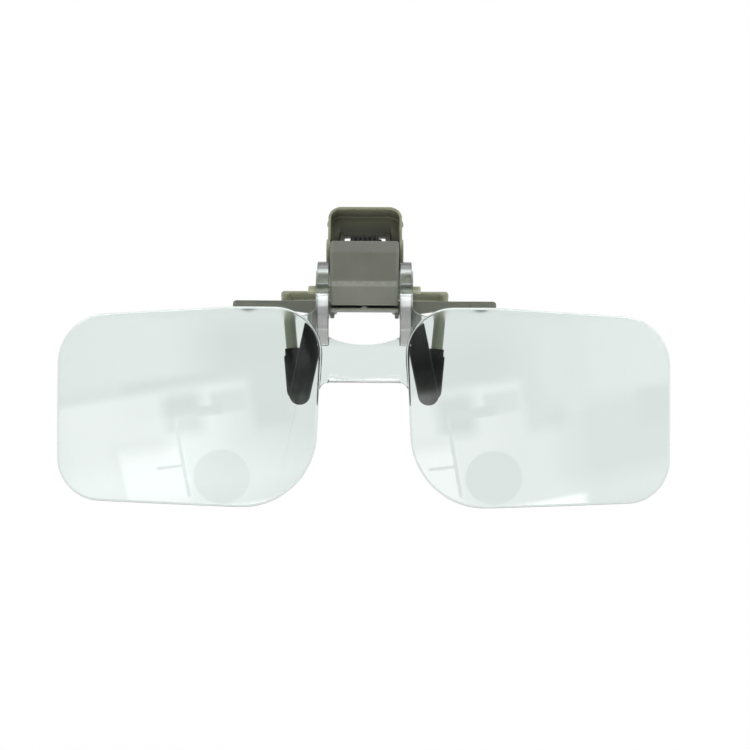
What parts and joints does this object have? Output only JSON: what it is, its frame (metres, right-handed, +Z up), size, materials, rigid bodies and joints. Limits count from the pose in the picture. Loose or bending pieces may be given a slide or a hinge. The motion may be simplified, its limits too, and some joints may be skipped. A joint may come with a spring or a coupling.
{
  "type": "clip on eyeglass loupe",
  "caption": "Clear plate with two magnifying lenses that flips up on a small sprung clip, whose rubber-sleeved jaws grip a pair of spectacles at the nose.",
  "frame": {"origin": "the point between the four rubber pads where a spectacle lens is gripped", "axes": "+X to the right seen from in front, -Y to the front (away from the wearer), +Z up; a spectacle lens leaves the clamp downwards, along -Z"},
  "size_m": [0.108, 0.0218, 0.0542],
  "materials": {
    "clear_acrylic": "polished clear acrylic",
    "grey_olive_plastic": "moulded plastic with a satin sheen",
    "olive_plastic": "moulded plastic with a satin sheen",
    "black_rubber": "soft rubber, smooth",
    "pin_steel": "drawn steel pin",
    "spring_steel": "spring wire, oiled"
  },
  "bodies": {
    "clip": {"front_jaw": "grey_olive_plastic", "front_cover": "grey_olive_plastic", "lens_axle": "olive_plastic", "jaw_pin": "pin_steel", "torsion_spring": "spring_steel", "front_left_sleeve": "black_rubber", "front_right_sleeve": "black_rubber"},
    "lens": {"lens_plate": "clear_acrylic"},
    "lever": {"rear_jaw": "olive_plastic", "rear_left_sleeve": "black_rubber", "rear_right_sleeve": "black_rubber"}
  },
  "joints": [
    {"name": "lens_flip", "type": "hinge", "parent": "clip", "child": "lens", "pos_m": [0, -0.008, 0.0152], "axis": [-1, 0, 0], "range_deg": [0, 135]},
    {"name": "jaw_open", "type": "hinge", "parent": "clip", "child": "lever", "pos_m": [0, -0.0005, 0.0221], "axis": [1, 0, 0], "range_deg": [0, 18], "stiffness_Nm_per_rad": 0.05, "springref_deg": -22.92, "deforming": ["torsion_spring"]}
  ]
}
